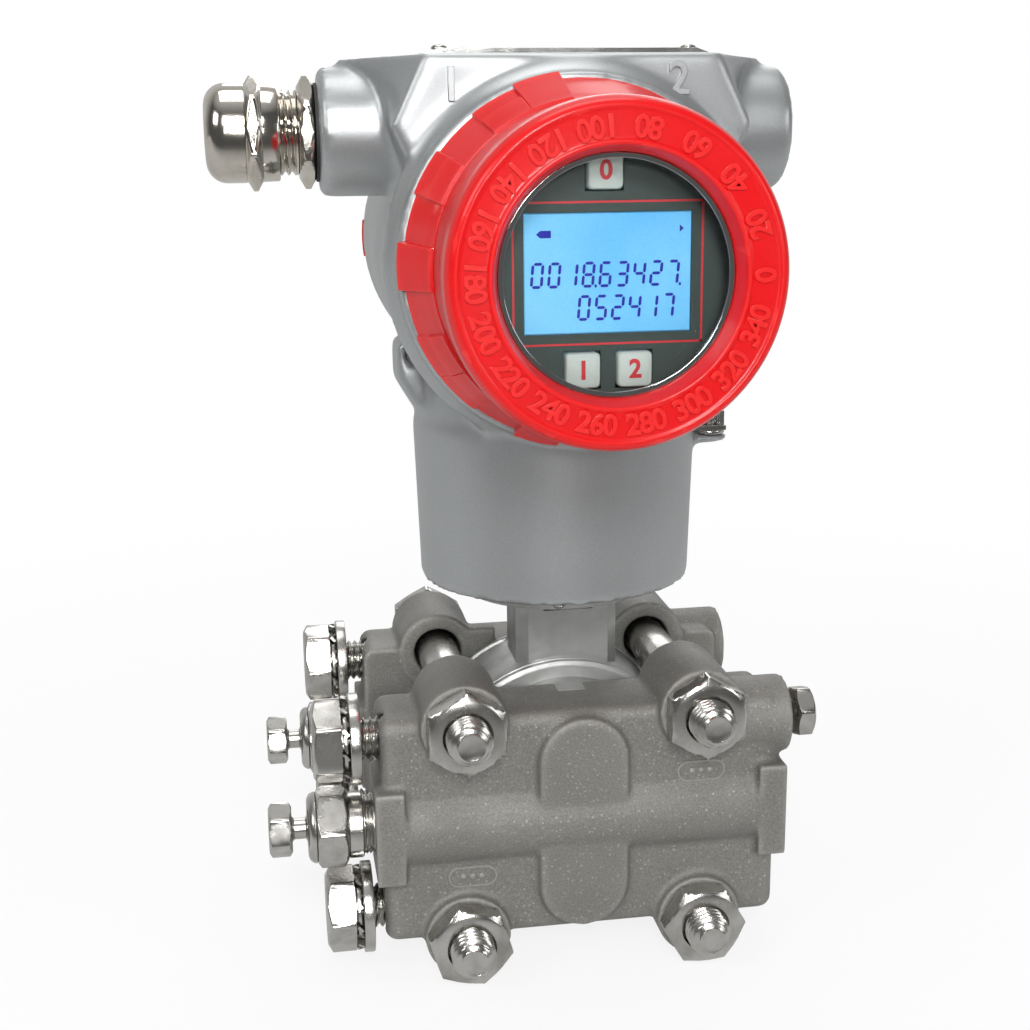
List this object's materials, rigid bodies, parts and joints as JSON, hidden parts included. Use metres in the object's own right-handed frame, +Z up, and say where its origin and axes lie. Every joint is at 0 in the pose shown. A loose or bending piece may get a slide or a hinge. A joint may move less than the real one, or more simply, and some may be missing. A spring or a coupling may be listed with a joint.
{
  "type": "differential pressure transmitter",
  "caption": "Field transmitter: sensor cell clamped between cast process flanges, with a swivelling housing, threaded covers, display, keys and cable gland.",
  "frame": {"origin": "middle of the base, under the lowest points of the flange lugs", "axes": "+Z up along the neck, -Y towards the display, +X towards the process ports"},
  "size_m": [0.1326, 0.1588, 0.2053],
  "materials": {
    "cast_steel": "sand-cast stainless steel, matt warm grey",
    "machined_steel": "turned stainless steel",
    "foil": "thin corrugated foil",
    "gasket": "black seal rubber",
    "bright_steel": "bright zinc-plated or stainless fasteners",
    "housing_finish": "silver-grey satin coat on die-cast aluminium",
    "cover_red": "glossy red coat on die-cast aluminium",
    "anodised": "turned aluminium ring",
    "chrome_ring": "bright trim ring",
    "window": "clear toughened glass",
    "potting": "black moulded housing",
    "circuit_board": "green laminate",
    "lcd": "backlit liquid crystal display",
    "panel": "dark green-grey membrane panel",
    "button": "light grey rubber key",
    "terminal": "black moulded terminal block",
    "nickel": "nickel-plated brass",
    "plug": "plain plug",
    "plate": "plain stainless name plate"
  },
  "bodies": {
    "base": {"front_flange": "cast_steel", "rear_flange": "cast_steel", "sensor_cell": "machined_steel", "cell_gaskets": "gasket", "cell_diaphragms": "foil", "flange_studs": "bright_steel", "front_nuts": "bright_steel", "rear_nuts": "bright_steel", "side_bolts": "bright_steel", "tooth_washers": "bright_steel", "flat_washers": "bright_steel", "vent_bodies": "bright_steel", "swivel_set_screw": "bright_steel"},
    "housing": {"housing": "housing_finish", "tag_plate": "plate", "tag_screws": "bright_steel", "cover_lock_screw": "bright_steel", "ground_washer": "bright_steel", "ground_clamp": "bright_steel", "ground_screw": "bright_steel", "blanking_plug": "plug", "gland_body": "nickel", "gland_seal": "gasket", "electronics_can": "potting", "display_board": "circuit_board", "board_screws": "bright_steel", "lcd_module": "lcd", "display_panel": "panel", "terminal_block": "terminal", "terminal_screws": "bright_steel"},
    "front_cover_thread": {"front_cover_seal": "gasket"},
    "front_cover": {"front_cover": "cover_red", "window_glass": "window", "window_retainer": "anodised", "window_ring": "chrome_ring"},
    "rear_cover_thread": {"rear_cover_seal": "gasket"},
    "rear_cover": {"rear_cover": "cover_red"},
    "top_button": {"top_button": "button"},
    "left_button": {"left_button": "button"},
    "right_button": {"right_button": "button"},
    "gland_insert": {"gland_insert": "gasket"},
    "gland_nut": {"gland_nut": "nickel"},
    "vent_ball_front": {"vent_ball_front": "bright_steel"},
    "vent_screw_front": {"vent_screw_front": "bright_steel"},
    "vent_ball_rear": {"vent_ball_rear": "bright_steel"},
    "vent_screw_rear": {"vent_screw_rear": "bright_steel"},
    "vent_ball_side": {"vent_ball_side": "bright_steel"},
    "vent_screw_side": {"vent_screw_side": "bright_steel"}
  },
  "joints": [
    {"name": "housing_swivel", "type": "hinge", "parent": "base", "child": "housing", "pos_m": [0.01055, -0.00865, 0.1051], "axis": [0, 0, 1], "range_deg": [-180, 180]},
    {"name": "front_cover_travel", "type": "slide", "parent": "housing", "child": "front_cover_thread", "axis": [0, -1, 0], "range_m": [0, 0.01]},
    {"name": "front_cover_turn", "type": "hinge", "parent": "front_cover_thread", "child": "front_cover", "pos_m": [0.01055, -0.05865, 0.1607], "axis": [0, -1, 0], "range_deg": [0, 1800]},
    {"name": "rear_cover_travel", "type": "slide", "parent": "housing", "child": "rear_cover_thread", "axis": [0, 1, 0], "range_m": [0, 0.01]},
    {"name": "rear_cover_turn", "type": "hinge", "parent": "rear_cover_thread", "child": "rear_cover", "pos_m": [0.01055, 0.06635, 0.1607], "axis": [0, 1, 0], "range_deg": [0, 1800]},
    {"name": "gland_travel", "type": "slide", "parent": "housing", "child": "gland_insert", "axis": [-1, 0, 0], "range_m": [0, 0.0045]},
    {"name": "gland_turn", "type": "hinge", "parent": "gland_insert", "child": "gland_nut", "pos_m": [-0.05745, -0.00865, 0.1879], "axis": [-1, 0, 0], "range_deg": [0, 1080]},
    {"name": "front_vent_travel", "type": "slide", "parent": "base", "child": "vent_ball_front", "axis": [-1, 0, 0], "range_m": [0, 0.002]},
    {"name": "front_vent_turn", "type": "hinge", "parent": "vent_ball_front", "child": "vent_screw_front", "pos_m": [-0.05445, -0.03565, 0.0351], "axis": [-1, 0, 0], "range_deg": [0, 720]},
    {"name": "rear_vent_travel", "type": "slide", "parent": "base", "child": "vent_ball_rear", "axis": [-1, 0, 0], "range_m": [0, 0.002]},
    {"name": "rear_vent_turn", "type": "hinge", "parent": "vent_ball_rear", "child": "vent_screw_rear", "pos_m": [-0.05445, 0.01835, 0.0351], "axis": [-1, 0, 0], "range_deg": [0, 720]},
    {"name": "side_vent_travel", "type": "slide", "parent": "base", "child": "vent_ball_side", "axis": [1, 0, 0], "range_m": [0, 0.002]},
    {"name": "side_vent_turn", "type": "hinge", "parent": "vent_ball_side", "child": "vent_screw_side", "pos_m": [0.06255, -0.03565, 0.0549], "axis": [1, 0, 0], "range_deg": [0, 720]},
    {"name": "top_button_press", "type": "slide", "parent": "housing", "child": "top_button", "axis": [0, 1, 0], "range_m": [0, 0.0006], "stiffness_N_per_m": 400},
    {"name": "left_button_press", "type": "slide", "parent": "housing", "child": "left_button", "axis": [0, 1, 0], "range_m": [0, 0.0006], "stiffness_N_per_m": 400},
    {"name": "right_button_press", "type": "slide", "parent": "housing", "child": "right_button", "axis": [0, 1, 0], "range_m": [0, 0.0006], "stiffness_N_per_m": 400}
  ],
  "couplings": [
    {"joint": "front_cover_travel", "follows": "front_cover_turn", "m_per_rad": 0.00031828},
    {"joint": "rear_cover_travel", "follows": "rear_cover_turn", "m_per_rad": 0.00031828},
    {"joint": "gland_travel", "follows": "gland_turn", "m_per_rad": 0.00023871},
    {"joint": "front_vent_travel", "follows": "front_vent_turn", "m_per_rad": 0.00015914},
    {"joint": "rear_vent_travel", "follows": "rear_vent_turn", "m_per_rad": 0.00015914},
    {"joint": "side_vent_travel", "follows": "side_vent_turn", "m_per_rad": 0.00015914}
  ]
}
